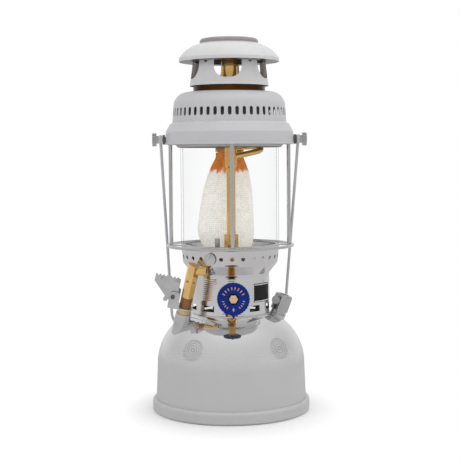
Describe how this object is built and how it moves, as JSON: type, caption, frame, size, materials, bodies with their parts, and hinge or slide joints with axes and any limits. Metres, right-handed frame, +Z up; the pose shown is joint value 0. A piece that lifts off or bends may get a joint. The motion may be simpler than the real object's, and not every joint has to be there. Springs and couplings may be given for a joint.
{
  "type": "pressure lantern",
  "caption": "Paraffin pressure lantern with domed tank, caged glass chimney around a mantle, vented hood, swinging bail, pump, handwheel valve and torch preheater.",
  "frame": {"origin": "centre of the base ring's underside", "axes": "+Z up along the lantern's axis, -Y towards the handwheel at the front, +X to the filler cap's side"},
  "size_m": [0.1722, 0.1722, 0.4034],
  "materials": {
    "white_paint": "glossy",
    "inner_steel": "satin",
    "bright_plate": "polished",
    "brass": "polished",
    "clear_glass": "clear",
    "ceramic": "matte",
    "mantle_cloth": "knitted",
    "blue_plastic": "glossy",
    "leather": "oiled",
    "rubber": "matte",
    "dial_paint": "satin",
    "pointer_paint": "satin"
  },
  "bodies": {
    "lantern": {"tank_shell": "white_paint", "base_ring": "white_paint", "hood_shell": "white_paint", "cap": "white_paint", "crown": "white_paint", "tank_floor": "inner_steel", "hood_inner_casing": "inner_steel", "cap_ring": "inner_steel", "burner_bracket": "inner_steel", "tank_collar": "bright_plate", "shroud": "bright_plate", "gallery": "bright_plate", "cage_ring": "bright_plate", "cage_brackets": "bright_plate", "cage_rods": "bright_plate", "match_cover_rivet": "bright_plate", "crown_struts": "bright_plate", "pivot_studs": "bright_plate", "hood_nuts": "bright_plate", "filler_neck": "bright_plate", "pump_cap": "bright_plate", "preheater_base": "bright_plate", "preheater_bracket": "bright_plate", "preheater_pin": "bright_plate", "mixing_tube": "brass", "gas_chamber": "brass", "vaporizer_tube": "brass", "vaporizer_nut": "brass", "jet_nozzle": "brass", "valve_body": "brass", "suction_pipe": "brass", "preheat_bowl": "brass", "preheat_spout": "brass", "pump_barrel": "brass", "check_valve": "brass", "chimney_collar": "brass", "preheater_body": "brass", "packing_nut": "brass", "glass_chimney": "clear_glass", "ceramic_nozzle": "ceramic", "mantle": "mantle_cloth"},
    "bail": {"bail": "bright_plate"},
    "handwheel": {"spindle": "brass", "handwheel": "blue_plastic", "handwheel_nut": "brass"},
    "pricker": {"pricker_rod": "inner_steel"},
    "pump_plunger": {"pump_rod": "brass", "pump_knob": "bright_plate", "pump_leather": "leather"},
    "filler_cap": {"filler_cap": "bright_plate", "filler_gasket": "rubber", "gauge_dial": "dial_paint", "gauge_glass": "clear_glass"},
    "gauge_pointer": {"gauge_pointer": "pointer_paint"},
    "vent_screw": {"vent_screw": "bright_plate"},
    "preheater_lever": {"preheater_lever": "bright_plate"},
    "preheater_valve": {"preheater_valve": "brass"},
    "match_cover": {"match_cover": "bright_plate"},
    "thumb_nut_left": {"thumb_nut_left": "bright_plate"},
    "thumb_nut_right": {"thumb_nut_right": "bright_plate"}
  },
  "joints": [
    {"name": "bail_swing", "type": "hinge", "parent": "lantern", "child": "bail", "pos_m": [0, 0, 0.29513], "axis": [1, 0, 0], "range_deg": [0, 300]},
    {"name": "handwheel_turn", "type": "hinge", "parent": "lantern", "child": "handwheel", "pos_m": [0, -0.08, 0.13043], "axis": [0, -1, 0], "range_deg": [0, 180]},
    {"name": "pricker_lift", "type": "slide", "parent": "lantern", "child": "pricker", "axis": [0, 0, 1], "range_m": [0, 0.004]},
    {"name": "pump_stroke", "type": "slide", "parent": "lantern", "child": "pump_plunger", "axis": [0, 0.342, 0.9397], "range_m": [0, 0.058]},
    {"name": "filler_cap_turn", "type": "hinge", "parent": "lantern", "child": "filler_cap", "pos_m": [0.051, 0, 0.10233], "axis": [0.3453, 0, 0.9385], "range_deg": [0, 1080]},
    {"name": "gauge_pointer_turn", "type": "hinge", "parent": "filler_cap", "child": "gauge_pointer", "pos_m": [0.051, 0, 0.10233], "axis": [-0.3453, 0, -0.9385], "range_deg": [0, 270]},
    {"name": "vent_screw_turn", "type": "hinge", "parent": "filler_cap", "child": "vent_screw", "pos_m": [0.05022, -0.00672, 0.11966], "axis": [-0.6636, -0.7071, 0.2442], "range_deg": [0, 720]},
    {"name": "preheater_lever_tip", "type": "hinge", "parent": "lantern", "child": "preheater_lever", "pos_m": [-0.06243, -0.03452, 0.13079], "axis": [-0.0541, -0.9681, -0.2445], "range_deg": [0, 70]},
    {"name": "preheater_valve_lift", "type": "slide", "parent": "lantern", "child": "preheater_valve", "axis": [0.2092, -0.2505, 0.9452], "range_m": [0, 0.003]},
    {"name": "match_cover_swing", "type": "hinge", "parent": "lantern", "child": "match_cover", "pos_m": [-0.0233, -0.04838, 0.17303], "axis": [-0.4339, -0.901, 0], "range_deg": [0, 100]},
    {"name": "thumb_nut_left_turn", "type": "hinge", "parent": "lantern", "child": "thumb_nut_left", "pos_m": [-0.08, 0, 0.29513], "axis": [-1, 0, 0], "continuous": true},
    {"name": "thumb_nut_right_turn", "type": "hinge", "parent": "lantern", "child": "thumb_nut_right", "pos_m": [0.08, 0, 0.29513], "axis": [1, 0, 0], "continuous": true}
  ],
  "couplings": [
    {"joint": "pricker_lift", "follows": "handwheel_turn", "m_per_rad": 0.0012732},
    {"joint": "preheater_valve_lift", "follows": "preheater_lever_tip", "m_per_rad": 0.0024555}
  ]
}
